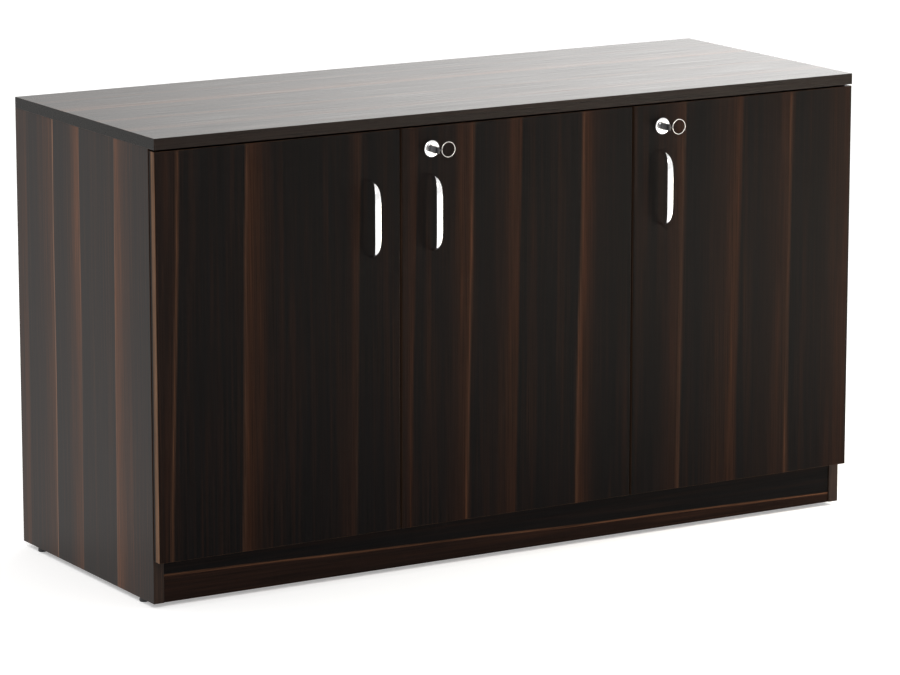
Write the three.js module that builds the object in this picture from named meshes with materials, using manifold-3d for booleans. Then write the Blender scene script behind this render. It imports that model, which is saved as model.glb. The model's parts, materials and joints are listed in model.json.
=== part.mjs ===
// Office credenza: a board carcass on glide feet with three hinged doors, bow handles, cam locks and shelves.
// Millimetres. +X runs along the width, +Y from the doors to the back, +Z up from the floor.
import * as THREE from "three";
import { mergeVertices } from "three/addons/utils/BufferGeometryUtils.js";
import Module from "manifold-3d";

const wasm = await Module();
wasm.setup();

// Carcass sizes
const WIDTH = 1315;
const DEPTH = 490;
const HEIGHT = 750;
const BOARD = 18;
const TOP_THICKNESS = 18;
const SHELF_THICKNESS = 18;
const BACK_THICKNESS = 8;
const BACK_INSET = 10;
const GROOVE_DEPTH = 6;
const PLINTH_HEIGHT = 72;
const SKIRTING_SETBACK = 2;
const FOOT_HEIGHT = 8;
const FOOT_DIAMETER = 15;
const FOOT_INSET = 52;
const FOOT_EDGE = 1.3;
const FOOT_PEG_DIAMETER = 5;
const FOOT_PEG_LENGTH = 12;

// Doors
const DOOR_COUNT = 3;
const DOOR_THICKNESS = 18;
const DOOR_GAP = 3;
const DOOR_STANDOFF = 3;
const DOOR_DROP = 2;
const DOOR_FRONT_ROUND = 2;
const DOOR_BACK_ROUND = 1;

// Adjustable shelves on pegs
const SHELF_HEIGHT = 310;
const SHELF_SETBACK = 30;
const SHELF_PLAY = 1;
const PEG_DIAMETER = 5;
const PEG_LENGTH = 7.5;
const PEG_SUPPORT_DIAMETER = 7;
const PEG_SUPPORT_LENGTH = 9;
const PEG_ROW_INSET = 80;
const PEG_HOLE_PITCH = 32;
const PEG_HOLES_EACH_WAY = 1;

// Concealed hinges: cup in the door, gooseneck arm on a plate inside the case
const HINGE_INSET = 100;
const CUP_BORE = 35;
const CUP_EDGE = 3.5;
const CUP_DEPTH = 12.5;
const CUP_SHEET = 0.8;
const CUP_FLANGE = 1.2;
const CUP_RIM = 1.5;
const CUP_EAR_SPACING = 46;
const CUP_EAR_WIDTH = 12;
const CUP_EAR_OFFSET = 5;
const PIN_EDGE = 8;
const PIN_RADIUS = 1.2;
const EYE_RADIUS = 2.3;
const EYE_WIDTH = 10;
const NECK_REACH = 16;
const NECK_BEND = 3;
const CRANK_RUN = 12;
const ARM_SHEET = 1.6;
const ARM_WIDTH = 17;
const ARM_LIP = 2.2;
const ARM_TAIL = 15;
const PLATE_THICKNESS = 4;
const PLATE_BASE = 1.5;
const PLATE_SETBACK = 37;
const PLATE_SCREW_PITCH = 32;
const PLATE_SCREW_HOLE = 5;
const PLATE_WING_WIDTH = 12;
const PLATE_CORNER = 4;

// Bow handles
const HANDLE_LENGTH = 126;
const HANDLE_PROJECTION = 28;
const HANDLE_WIDTH = 12;
const HANDLE_END_WIDTH = 5.5;
const HANDLE_THICKNESS = 4.5;
const HANDLE_SQUARENESS = 4;
const HANDLE_EDGE = 55;
const HANDLE_DROP = 139;

// Cam locks with folding keys
const LOCK_EDGE = 54;
const LOCK_DROP = 36;
const ROSETTE_DIAMETER = 28;
const ROSETTE_HEIGHT = 4.5;
const ROSETTE_EDGE = 2.5;
const BARREL_DIAMETER = 19;
const BARREL_TAIL = 3;
const PLUG_DIAMETER = 13;
const PLUG_STEM_DIAMETER = 7;
const CAM_SHEET = 2;
const CAM_WIDTH = 14;
const CAM_TIP_WIDTH = 9;
const CAM_TIP_GAP = 5;
const CAM_CLEARANCE = 1.2;
const STRIKE_SHEET = 2;
const STRIKE_WIDTH = 30;
const STRIKE_DROP = 20;
const STRIKE_FLANGE = 24;
const STRIKE_SETBACK = 1;
const KEY_BLADE = 1.8;
const KEY_BLADE_HEIGHT = 8;
const KEY_BLADE_LENGTH = 13;
const KEY_NECK_WIDTH = 5;
const KEY_NECK_HEIGHT = 10;
const KEY_REACH = 22;
const KEY_PIVOT_RADIUS = 1;
const KEY_EYE_RADIUS = 2.4;
const KEY_EYE_HEIGHT = 4;
const KEY_RING_DIAMETER = 26;
const KEY_RING_WIRE = 2;
const KEY_RING_OFFSET = 19;
const KEY_TAB_THICKNESS = 1.6;

// Tower bolt on the door without a lock
const BOLT_EDGE = 26;
const BOLT_DIAMETER = 7;
const BOLT_GUIDE_LENGTH = 42;
const BOLT_GUIDE_WALL = 2.4;
const BOLT_GUIDE_DROP = 22;
const BOLT_PLATE_WIDTH = 28;
const BOLT_PLATE_SHEET = 1.6;
const BOLT_TRAVEL = 13;
const BOLT_TOP_GAP = 3;
const BOLT_KNOB_DIAMETER = 13;
const BOLT_KNOB_HEIGHT = 8;
const BOLT_CHAMFER = 1.2;

// Clearances and roundness
const SEAT = 0.2;
const RUNNING_GAP = 0.2;
const BORE_GAP = 0.25;
const PEG_BORE_END = 0.5;
const OVERCUT = 1;
const ROUND_SIDES = 24;
const SMALL_SIDES = 12;
const FOOT_SIDES = 16;
const WIRE_SIDES = 8;
const CORNER_STEPS = 3;
const WELD = 1e-4;

// Shared planes and lines, measured from the door faces, the floor and the middle of the width
const carcassFront = DOOR_THICKNESS + DOOR_STANDOFF;
const underTop = HEIGHT - TOP_THICKNESS;
const plinthTop = FOOT_HEIGHT + PLINTH_HEIGHT;
const caseFloor = plinthTop + BOARD;
const backFace = DEPTH - BACK_INSET - BACK_THICKNESS;
const halfWidth = WIDTH / 2;
const innerHalf = halfWidth - BOARD;
const doorWidth = (WIDTH - (DOOR_COUNT - 1) * DOOR_GAP) / DOOR_COUNT;
const doorBottom = plinthTop - DOOR_DROP;
const doorTop = underTop - DOOR_GAP;
const partitionX = halfWidth - doorWidth - DOOR_GAP / 2;
const pinDepth = CUP_DEPTH - EYE_RADIUS - RUNNING_GAP;
const pinY = DOOR_THICKNESS - pinDepth;
const hingeHeights = { lower: doorBottom + HINGE_INSET, upper: doorTop - HINGE_INSET };
const lockZ = doorTop - LOCK_DROP;
const camFront = carcassFront + STRIKE_SETBACK + STRIKE_SHEET + CAM_CLEARANCE;
const shelfUnderside = caseFloor + SHELF_HEIGHT;
const pegZ = shelfUnderside - SEAT - PEG_SUPPORT_DIAMETER / 2;
const pegRows = [carcassFront + PEG_ROW_INSET, backFace - PEG_ROW_INSET];
const pegBoreDepth = PEG_LENGTH + PEG_BORE_END;
const boltY = DOOR_THICKNESS + SEAT + BOLT_PLATE_SHEET + BOLT_GUIDE_WALL + RUNNING_GAP + BOLT_DIAMETER / 2;
const boltX = -halfWidth + doorWidth - BOLT_EDGE;
const boltTop = underTop - BOLT_TOP_GAP;

const FINISHES = {
  laminate: { color: 0x2e1f18, roughness: 0.42, metalness: 0 },
  chrome: { color: 0xe4e4e2, roughness: 0.12, metalness: 1 },
  steel: { color: 0xb4b4b0, roughness: 0.32, metalness: 1 },
  darkPlastic: { color: 0x17161a, roughness: 0.5, metalness: 0 },
};

// Solids: closed meshes that can be joined and cut
function solidOf(geometry) {
  const loose = geometry.index ? geometry.toNonIndexed() : geometry;
  const bare = new THREE.BufferGeometry().setAttribute("position", loose.getAttribute("position"));
  const merged = mergeVertices(bare, WELD);
  const corners = merged.index.array;
  const faces = [];
  for (let i = 0; i < corners.length; i += 3) {
    const face = Array.from(corners.slice(i, i + 3));
    if (new Set(face).size === 3) faces.push(...face);
  }
  const vertProperties = merged.attributes.position.array;
  const build = (list) => {
    const mesh = new wasm.Mesh({ numProp: 3, vertProperties, triVerts: new Uint32Array(list) });
    return new wasm.Manifold(mesh);
  };
  const solid = build(faces);
  return solid.volume() < 0 ? build(faces.reverse()) : solid;
}

function geometryOf(solid) {
  const { vertProperties, triVerts } = solid.getMesh();
  return new THREE.BufferGeometry()
    .setAttribute("position", new THREE.BufferAttribute(vertProperties, 3))
    .setIndex(new THREE.BufferAttribute(triVerts, 1));
}

function join(...pieces) {
  return geometryOf(pieces.map(solidOf).reduce((whole, piece) => whole.add(piece)));
}

function cut(piece, ...tools) {
  return geometryOf(tools.map(solidOf).reduce((rest, tool) => rest.subtract(tool), solidOf(piece)));
}

function common(piece, other) {
  return geometryOf(solidOf(piece).intersect(solidOf(other)));
}

function add(parent, name, geometry, finish) {
  const material = new THREE.MeshStandardMaterial({ ...FINISHES[finish], flatShading: true });
  const mesh = new THREE.Mesh(geometryOf(solidOf(geometry)), material);
  mesh.name = name;
  parent.add(mesh);
  return mesh;
}

function groupAt(parent, x, y, z) {
  const group = new THREE.Group();
  group.position.set(x, y, z);
  parent.add(group);
  return group;
}

// Basic forms
function box([x0, x1], [y0, y1], [z0, z1]) {
  const middle = [(x0 + x1) / 2, (y0 + y1) / 2, (z0 + z1) / 2];
  return new THREE.BoxGeometry(x1 - x0, y1 - y0, z1 - z0).translate(...middle);
}

function around(centre, size) {
  return [centre - size / 2, centre + size / 2];
}

function turnedAlongY(profile, sides = ROUND_SIDES) {
  return new THREE.LatheGeometry(profile.map(([radius, y]) => new THREE.Vector2(radius, y)), sides);
}

function turnedAlongZ(profile, sides = ROUND_SIDES) {
  return turnedAlongY(profile, sides).rotateX(Math.PI / 2);
}

function turnedAlongX(profile, sides = ROUND_SIDES) {
  return turnedAlongY(profile, sides).rotateZ(-Math.PI / 2);
}

function cylinderProfile(radius, from, to) {
  return [[0, from], [radius, from], [radius, to], [0, to]];
}

function extruded(shape, [from, to]) {
  const options = { depth: to - from, bevelEnabled: false, curveSegments: CORNER_STEPS };
  return new THREE.ExtrudeGeometry(shape, options).translate(0, 0, from);
}

// A shape drawn in Y and Z, extruded along X
function extrudedAlongX(shape, range) {
  const axes = [new THREE.Vector3(0, 1, 0), new THREE.Vector3(0, 0, 1), new THREE.Vector3(1, 0, 0)];
  return extruded(shape, range).applyMatrix4(new THREE.Matrix4().makeBasis(...axes));
}

// A shape drawn in Z and X, extruded along Y
function extrudedAlongY(shape, range) {
  const axes = [new THREE.Vector3(0, 0, 1), new THREE.Vector3(1, 0, 0), new THREE.Vector3(0, 1, 0)];
  return extruded(shape, range).applyMatrix4(new THREE.Matrix4().makeBasis(...axes));
}

// A round-cornered rectangle whose lower and upper corners have their own radii
function roundedRectangle([x0, x1], [y0, y1], lowRound, highRound) {
  const quarter = Math.PI / 2;
  const shape = new THREE.Shape();
  shape.absarc(x0 + lowRound, y0 + lowRound, lowRound, 2 * quarter, 3 * quarter);
  shape.absarc(x1 - lowRound, y0 + lowRound, lowRound, 3 * quarter, 4 * quarter);
  shape.absarc(x1 - highRound, y1 - highRound, highRound, 0, quarter);
  shape.absarc(x0 + highRound, y1 - highRound, highRound, quarter, 2 * quarter);
  return shape;
}

// A bar with half-round ends along the drawing's first axis, tapering from one end to the other
function taperedBar([start, end], startRadius, endRadius) {
  const shape = new THREE.Shape();
  shape.absarc(start, 0, startRadius, Math.PI / 2, Math.PI * 1.5);
  shape.absarc(end, 0, endRadius, -Math.PI / 2, Math.PI / 2);
  return shape;
}

// A path of straight runs with a bend at each inner corner
function bentPath(corners, bend) {
  const path = new THREE.Path().moveTo(corners[0].x, corners[0].y);
  corners.slice(1, -1).forEach((corner, i) => {
    const before = corners[i].clone().sub(corner);
    const after = corners[i + 2].clone().sub(corner);
    const reach = Math.min(bend, before.length() / 2, after.length() / 2);
    const entry = corner.clone().addScaledVector(before.normalize(), reach);
    const exit = corner.clone().addScaledVector(after.normalize(), reach);
    path.lineTo(entry.x, entry.y).quadraticCurveTo(corner.x, corner.y, exit.x, exit.y);
  });
  const last = corners[corners.length - 1];
  return path.lineTo(last.x, last.y).getPoints(CORNER_STEPS);
}

// The outline of sheet metal of one thickness that follows a path
function sheetAlong(points, thickness) {
  const edge = (side) => points.map((point, i) => {
    const before = points[Math.max(i, 1)].clone().sub(points[Math.max(i, 1) - 1]).normalize();
    const next = Math.min(i, points.length - 2);
    const after = points[next + 1].clone().sub(points[next]).normalize();
    const mid = before.clone().add(after).normalize();
    const offset = (side * thickness) / 2 / mid.dot(before);
    return new THREE.Vector2(point.x - mid.y * offset, point.y + mid.x * offset);
  });
  return new THREE.Shape([...edge(1), ...edge(-1).reverse()]);
}

// A closed skin over rings of equal point counts
function loft(rings) {
  const count = rings[0].length;
  const faces = [];
  for (let i = 0; i + 1 < rings.length; i++) {
    for (let j = 0; j < count; j++) {
      const a = i * count + j;
      const b = i * count + ((j + 1) % count);
      faces.push(a, b, a + count, b, b + count, a + count);
    }
  }
  const end = (rings.length - 1) * count;
  for (let j = 1; j + 1 < count; j++) faces.push(0, j + 1, j, end, end + j, end + j + 1);
  return new THREE.BufferGeometry().setFromPoints(rings.flat()).setIndex(faces);
}

// Boards of the carcass
function pegBores(faceX, inward) {
  const span = [faceX + inward * SEAT, faceX - inward * pegBoreDepth];
  const profile = cylinderProfile(PEG_DIAMETER / 2 + BORE_GAP, Math.min(...span), Math.max(...span));
  const bores = [];
  for (const y of pegRows) {
    for (let k = -PEG_HOLES_EACH_WAY; k <= PEG_HOLES_EACH_WAY; k++) {
      bores.push(turnedAlongX(profile, SMALL_SIDES).translate(0, y, pegZ + k * PEG_HOLE_PITCH));
    }
  }
  return bores;
}

function backGroove(x, z) {
  return box(x, around(backFace + BACK_THICKNESS / 2, BACK_THICKNESS + 2 * SEAT), z);
}

function footCentres() {
  return { front: carcassFront + FOOT_INSET, rear: DEPTH - FOOT_INSET };
}

function sidePanel(hand) {
  const x = around(hand * (halfWidth - BOARD / 2), BOARD);
  const innerFace = hand * innerHalf;
  const grooveX = [innerFace - hand * OVERCUT, innerFace + hand * GROOVE_DEPTH].sort((a, b) => a - b);
  const pegRadius = FOOT_PEG_DIAMETER / 2 + BORE_GAP;
  const boreProfile = cylinderProfile(pegRadius, -SEAT, FOOT_PEG_LENGTH + PEG_BORE_END);
  const footBores = Object.values(footCentres()).map((y) =>
    turnedAlongZ(boreProfile, SMALL_SIDES).translate(hand * (halfWidth - BOARD / 2), y, FOOT_HEIGHT));
  return cut(
    box(x, [carcassFront, DEPTH], [FOOT_HEIGHT, underTop - SEAT]),
    backGroove(grooveX, [0, HEIGHT]),
    ...pegBores(innerFace, -hand),
    ...footBores,
  );
}

function topPanel() {
  const board = box([-halfWidth, halfWidth], [0, DEPTH], [underTop, HEIGHT]);
  const reach = innerHalf + GROOVE_DEPTH;
  const groove = backGroove([-reach, reach], [underTop - SEAT, underTop + GROOVE_DEPTH]);
  const boltRadius = BOLT_DIAMETER / 2 + 2 * BORE_GAP;
  const boltReach = BOLT_TRAVEL - BOLT_TOP_GAP + 2 * PEG_BORE_END;
  const boltSocket = turnedAlongZ(cylinderProfile(boltRadius, -SEAT, boltReach), SMALL_SIDES);
  return cut(board, groove, boltSocket.translate(boltX, boltY, underTop));
}

function partition() {
  const z = [caseFloor + SEAT, underTop - SEAT];
  const board = box(around(partitionX, BOARD), [carcassFront, backFace - SEAT], z);
  return cut(board, ...pegBores(partitionX - BOARD / 2, -1), ...pegBores(partitionX + BOARD / 2, 1));
}

function backPanel() {
  const reach = innerHalf + GROOVE_DEPTH - SEAT;
  const y = [backFace, backFace + BACK_THICKNESS];
  return box([-reach, reach], y, [FOOT_HEIGHT, underTop + GROOVE_DEPTH - SEAT]);
}

function addCarcass(root) {
  const between = [-innerHalf + SEAT, innerHalf - SEAT];
  const skirtingFront = carcassFront + SKIRTING_SETBACK;
  const skirtingY = [skirtingFront, skirtingFront + BOARD];
  const floorY = [carcassFront, backFace - SEAT];
  add(root, "top_panel", topPanel(), "laminate");
  add(root, "left_side", sidePanel(-1), "laminate");
  add(root, "right_side", sidePanel(1), "laminate");
  add(root, "bottom_panel", box(between, floorY, [plinthTop, caseFloor]), "laminate");
  add(root, "partition", partition(), "laminate");
  add(root, "back_panel", backPanel(), "laminate");
  add(root, "skirting", box(between, skirtingY, [FOOT_HEIGHT, plinthTop - SEAT]), "laminate");
}

function footGlide() {
  const radius = FOOT_DIAMETER / 2;
  const peg = FOOT_PEG_DIAMETER / 2;
  return turnedAlongZ([
    [0, 0],
    [radius - FOOT_EDGE, 0],
    [radius, FOOT_EDGE],
    [radius, FOOT_HEIGHT / 2],
    [radius - FOOT_EDGE, FOOT_HEIGHT - SEAT],
    [peg, FOOT_HEIGHT - SEAT],
    [peg, FOOT_HEIGHT + FOOT_PEG_LENGTH],
    [0, FOOT_HEIGHT + FOOT_PEG_LENGTH],
  ], FOOT_SIDES);
}

function addFeet(root) {
  for (const [end, y] of Object.entries(footCentres())) {
    for (const [name, hand] of [["left", -1], ["right", 1]]) {
      const place = groupAt(root, hand * (halfWidth - BOARD / 2), y, 0);
      add(place, `${end}_${name}_foot`, footGlide(), "darkPlastic");
    }
  }
}

// Shelves and the pegs they rest on
function shelfPeg(inward) {
  const peg = PEG_DIAMETER / 2;
  const support = PEG_SUPPORT_DIAMETER / 2;
  const chamfer = (support - peg) / 2;
  return turnedAlongX([
    [0, -PEG_LENGTH],
    [peg, -PEG_LENGTH],
    [peg, SEAT],
    [support, SEAT],
    [support, PEG_SUPPORT_LENGTH - chamfer],
    [support - chamfer, PEG_SUPPORT_LENGTH],
    [0, PEG_SUPPORT_LENGTH],
  ], SMALL_SIDES).scale(inward, 1, 1);
}

function addShelf(root, name, [leftFace, rightFace]) {
  const x = [leftFace + SHELF_PLAY, rightFace - SHELF_PLAY];
  const y = [carcassFront + SHELF_SETBACK, backFace - SHELF_PLAY];
  const z = [shelfUnderside, shelfUnderside + SHELF_THICKNESS];
  add(root, `${name}_shelf`, box(x, y, z), "laminate");
  pegRows.forEach((rowY, i) => {
    const end = ["front", "rear"][i];
    const ends = [["left", leftFace, 1], ["right", rightFace, -1]];
    for (const [hand, face, inward] of ends) {
      add(groupAt(root, face, rowY, pegZ), `${name}_shelf_${end}_${hand}_peg`, shelfPeg(inward), "steel");
    }
  });
}

// Concealed hinge, drawn from its pin: +X towards the middle of the door, +Y into the case
function hingeCup() {
  const centre = CUP_EDGE + CUP_BORE / 2 - PIN_EDGE;
  const outer = CUP_BORE / 2 - BORE_GAP;
  const inner = outer - CUP_SHEET;
  const rim = CUP_BORE / 2 + CUP_RIM;
  const floor = pinDepth - CUP_DEPTH;
  const seat = pinDepth + SEAT;
  const top = seat + CUP_FLANGE;
  const shell = turnedAlongY([
    [0, floor - CUP_SHEET],
    [outer, floor - CUP_SHEET],
    [outer, seat],
    [rim, seat],
    [rim, top],
    [0, top],
  ]);
  const ears = taperedBar(around(0, CUP_EAR_SPACING), CUP_EAR_WIDTH / 2, CUP_EAR_WIDTH / 2);
  const flange = extrudedAlongY(ears, [seat, top]).translate(CUP_EAR_OFFSET, 0, 0);
  const hollow = turnedAlongY(cylinderProfile(inner, floor, top + SEAT));
  const bar = turnedAlongZ(cylinderProfile(PIN_RADIUS, -outer, outer), SMALL_SIDES).translate(-centre, 0, 0);
  const pin = common(bar, turnedAlongY(cylinderProfile(outer - CUP_SHEET / 2, floor, top)));
  return join(cut(join(shell, flange), hollow), pin).translate(centre, 0, 0);
}

// panelFace is how far the face that carries the arm lies from the door's hinge edge
function armBody(panelFace) {
  return panelFace - PIN_EDGE + 2 * SEAT + PLATE_THICKNESS + ARM_SHEET / 2;
}

function hingeArm(panelFace) {
  const body = armBody(panelFace);
  const elbowDrop = EYE_RADIUS - ARM_SHEET / 2;
  const mouth = pinDepth + CUP_FLANGE + 2 * SEAT;
  const tail = pinDepth + DOOR_STANDOFF + PLATE_SETBACK + ARM_TAIL;
  const corners = [
    [0, 0],
    [NECK_REACH, -elbowDrop],
    [NECK_REACH, mouth],
    [body, mouth + CRANK_RUN],
    [body, tail],
  ];
  const path = bentPath(corners.map(([x, y]) => new THREE.Vector2(x, y)), NECK_BEND);
  const neck = extruded(sheetAlong(path, ARM_SHEET), around(0, EYE_WIDTH));
  const eye = turnedAlongZ(cylinderProfile(EYE_RADIUS, ...around(0, EYE_WIDTH)), SMALL_SIDES);
  const boreProfile = cylinderProfile(PIN_RADIUS + RUNNING_GAP, ...around(0, 2 * EYE_WIDTH));
  const bore = turnedAlongZ(boreProfile, SMALL_SIDES);
  const web = [mouth + CRANK_RUN + NECK_BEND, tail];
  const back = box(around(body, ARM_SHEET), web, around(0, ARM_WIDTH));
  const lips = [-1, 1].map((side) => {
    const z = around((side * (ARM_WIDTH - ARM_SHEET)) / 2, ARM_SHEET);
    return box([body - ARM_SHEET / 2 - ARM_LIP, body], web, z);
  });
  return cut(join(neck, eye, back, ...lips), bore);
}

function hingePlate(panelFace) {
  const face = panelFace - PIN_EDGE + SEAT;
  const screws = pinDepth + DOOR_STANDOFF + PLATE_SETBACK;
  const wingEnd = PLATE_SCREW_PITCH / 2;
  const wings = roundedRectangle(
    around(screws, PLATE_WING_WIDTH),
    around(0, PLATE_SCREW_PITCH + PLATE_WING_WIDTH),
    PLATE_CORNER,
    PLATE_CORNER,
  );
  for (const side of [-1, 1]) {
    const hole = new THREE.Path().absarc(screws, side * wingEnd, PLATE_SCREW_HOLE / 2, 0, 2 * Math.PI);
    wings.holes.push(hole);
  }
  const bossWidth = ARM_WIDTH - 2 * ARM_SHEET - 4 * SEAT;
  const boss = box([face, face + PLATE_THICKNESS], around(screws, 2 * ARM_TAIL), around(0, bossWidth));
  return join(extrudedAlongX(wings, [face, face + PLATE_BASE]), boss);
}

function addHingeArms(root, door) {
  for (const [end, z] of Object.entries(hingeHeights)) {
    const place = groupAt(root, door.pinX, pinY, z);
    const flip = door.hingeHand;
    const arm = hingeArm(door.panelFace).scale(-flip, 1, 1);
    const plate = hingePlate(door.panelFace).scale(-flip, 1, 1);
    add(place, `${door.name}_${end}_hinge_arm`, arm, "steel");
    add(place, `${door.name}_${end}_hinge_plate`, plate, "steel");
  }
}

// Bow handle: a strap on a flattened arch, wide in the middle, with its ends on the door face
function bowHandle() {
  const steps = ROUND_SIDES;
  const halfSpan = (HANDLE_LENGTH - HANDLE_THICKNESS) / 2;
  const reach = HANDLE_PROJECTION - HANDLE_THICKNESS / 2 - SEAT;
  const arch = (share) => {
    const angle = share * Math.PI;
    const rise = Math.cos(angle);
    const z = halfSpan * Math.sign(rise) * Math.abs(rise) ** (2 / HANDLE_SQUARENESS);
    return new THREE.Vector3(0, -SEAT - reach * Math.sin(angle), z);
  };
  const rings = [];
  for (let i = 0; i <= steps; i++) {
    const centre = arch(i / steps);
    const along = arch(Math.min(i + 1, steps) / steps).sub(arch(Math.max(i - 1, 0) / steps));
    if (i === 0 || i === steps) along.set(0, along.y, 0);
    along.normalize();
    const spread = Math.sin((i / steps) * Math.PI);
    const halfX = (HANDLE_END_WIDTH + (HANDLE_WIDTH - HANDLE_END_WIDTH) * spread) / 2;
    const ring = [];
    for (let j = 0; j < SMALL_SIDES; j++) {
      const turn = (j / SMALL_SIDES) * 2 * Math.PI;
      const across = (Math.sin(turn) * HANDLE_THICKNESS) / 2;
      const point = new THREE.Vector3(Math.cos(turn) * halfX, -along.z * across, along.y * across);
      ring.push(point.add(centre));
    }
    rings.push(ring);
  }
  return loft(rings);
}

// Cam lock, drawn on its own axis with Y from the door face
function lockHousing() {
  const rosette = ROSETTE_DIAMETER / 2;
  const barrel = BARREL_DIAMETER / 2;
  const bore = PLUG_DIAMETER / 2 + BORE_GAP;
  const tail = DOOR_THICKNESS + BARREL_TAIL;
  const roundEdge = [];
  for (let i = 0; i <= CORNER_STEPS; i++) {
    const angle = ((i / CORNER_STEPS) * Math.PI) / 2;
    const radius = rosette - ROSETTE_EDGE * (1 - Math.sin(angle));
    roundEdge.push([radius, -ROSETTE_HEIGHT + ROSETTE_EDGE * (1 - Math.cos(angle))]);
  }
  return turnedAlongY([
    [bore, -ROSETTE_HEIGHT],
    ...roundEdge,
    [rosette, -SEAT],
    [barrel, -SEAT],
    [barrel, tail],
    [bore, tail],
    [bore, -ROSETTE_HEIGHT],
  ]);
}

function lockPlug() {
  const radius = PLUG_DIAMETER / 2;
  const stem = PLUG_STEM_DIAMETER / 2;
  const shoulder = camFront - SEAT;
  const body = turnedAlongY([
    [0, -ROSETTE_HEIGHT],
    [radius, -ROSETTE_HEIGHT],
    [radius, shoulder],
    [stem, shoulder],
    [stem, shoulder + CAM_SHEET + 2 * SEAT],
    [0, shoulder + CAM_SHEET + 2 * SEAT],
  ]);
  const slotX = around(0, KEY_BLADE + 2 * BORE_GAP);
  const slotY = [-ROSETTE_HEIGHT - OVERCUT, KEY_BLADE_LENGTH - ROSETTE_HEIGHT + BORE_GAP];
  const slotZ = around(0, KEY_BLADE_HEIGHT + 2 * BORE_GAP);
  return cut(body, box(slotX, slotY, slotZ));
}

function lockCam() {
  const tip = DOOR_GAP + LOCK_DROP - SEAT - STRIKE_SHEET - CAM_TIP_GAP;
  const outline = taperedBar([0, tip - CAM_TIP_WIDTH / 2], CAM_WIDTH / 2, CAM_TIP_WIDTH / 2);
  const blade = extrudedAlongY(outline, [camFront, camFront + CAM_SHEET]).rotateY(Math.PI / 2);
  const boreY = [camFront - OVERCUT, camFront + CAM_SHEET + OVERCUT];
  const boreProfile = cylinderProfile(PLUG_STEM_DIAMETER / 2 + BORE_GAP, ...boreY);
  return cut(blade, turnedAlongY(boreProfile, SMALL_SIDES));
}

function lockKey() {
  const face = -ROSETTE_HEIGHT;
  const cheek = (KEY_NECK_HEIGHT - KEY_EYE_HEIGHT) / 2 - RUNNING_GAP;
  const neckEnd = -KEY_REACH + KEY_EYE_RADIUS + 2 * RUNNING_GAP;
  const blade = box(around(0, KEY_BLADE), [neckEnd, face + KEY_BLADE_LENGTH], around(0, KEY_BLADE_HEIGHT));
  const neck = box(around(0, KEY_NECK_WIDTH), [neckEnd, face - SEAT], around(0, KEY_NECK_HEIGHT));
  const round = KEY_NECK_WIDTH / 2;
  const cheeks = [-1, 1].map((side) => {
    const z = around((side * (KEY_NECK_HEIGHT - cheek)) / 2, cheek);
    const disc = turnedAlongZ(cylinderProfile(round, ...z), SMALL_SIDES).translate(0, -KEY_REACH, 0);
    return join(disc, box(around(0, KEY_NECK_WIDTH), [-KEY_REACH, neckEnd + SEAT], z));
  });
  const pinProfile = cylinderProfile(KEY_PIVOT_RADIUS, ...around(0, KEY_NECK_HEIGHT - cheek));
  const pin = turnedAlongZ(pinProfile, SMALL_SIDES).translate(0, -KEY_REACH, 0);
  return join(blade, neck, ...cheeks, pin);
}

// Drawn from the fold pin with the ring lying to the right
function keyHead() {
  const wire = KEY_RING_WIRE / 2;
  const middle = KEY_RING_DIAMETER / 2 - wire;
  const ring = new THREE.TorusGeometry(middle, wire, WIRE_SIDES, ROUND_SIDES)
    .rotateX(Math.PI / 2)
    .translate(KEY_RING_OFFSET, 0, 0);
  const eye = turnedAlongZ(cylinderProfile(KEY_EYE_RADIUS, ...around(0, KEY_EYE_HEIGHT)), SMALL_SIDES);
  const tab = box([0, KEY_RING_OFFSET - middle], around(0, KEY_TAB_THICKNESS), around(0, KEY_EYE_HEIGHT));
  const boreProfile = cylinderProfile(KEY_PIVOT_RADIUS + RUNNING_GAP, ...around(0, 2 * KEY_EYE_HEIGHT));
  return cut(join(ring, eye, tab), turnedAlongZ(boreProfile, SMALL_SIDES));
}

function strikePlate() {
  const front = carcassFront + STRIKE_SETBACK;
  const top = underTop - SEAT;
  const x = around(0, STRIKE_WIDTH);
  const flange = box(x, [front, front + STRIKE_FLANGE], [top - STRIKE_SHEET, top]);
  return join(flange, box(x, [front, front + STRIKE_SHEET], [top - STRIKE_DROP, top]));
}

function addLock(doorGroup, root, door) {
  const lockX = door.freeX + door.hingeHand * LOCK_EDGE;
  const lock = groupAt(doorGroup, lockX - door.pinX, 0, lockZ);
  add(lock, `${door.name}_lock_housing`, lockHousing(), "chrome");
  add(lock, `${door.name}_lock_plug`, lockPlug(), "chrome");
  add(lock, `${door.name}_lock_cam`, lockCam(), "steel");
  add(lock, `${door.name}_lock_key`, lockKey(), "darkPlastic");
  add(groupAt(lock, 0, -KEY_REACH, 0), `${door.name}_lock_key_ring`, keyHead(), "chrome");
  add(groupAt(root, lockX, 0, 0), `${door.name}_lock_strike`, strikePlate(), "steel");
}

// Tower bolt, drawn on the bolt's own axis with the door's back face in front of it
function boltGuide() {
  const outer = BOLT_DIAMETER / 2 + RUNNING_GAP + BOLT_GUIDE_WALL;
  const z = [doorTop - BOLT_GUIDE_DROP - BOLT_GUIDE_LENGTH, doorTop - BOLT_GUIDE_DROP];
  const plateBack = DOOR_THICKNESS + SEAT - boltY;
  const plate = box(around(0, BOLT_PLATE_WIDTH), [plateBack, plateBack + BOLT_PLATE_SHEET], z);
  const tube = turnedAlongZ(cylinderProfile(outer, ...z));
  const saddle = box(around(0, 2 * outer), [plateBack, 0], z);
  const bore = cylinderProfile(BOLT_DIAMETER / 2 + RUNNING_GAP, z[0] - OVERCUT, z[1] + OVERCUT);
  return cut(join(plate, tube, saddle), turnedAlongZ(bore));
}

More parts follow.
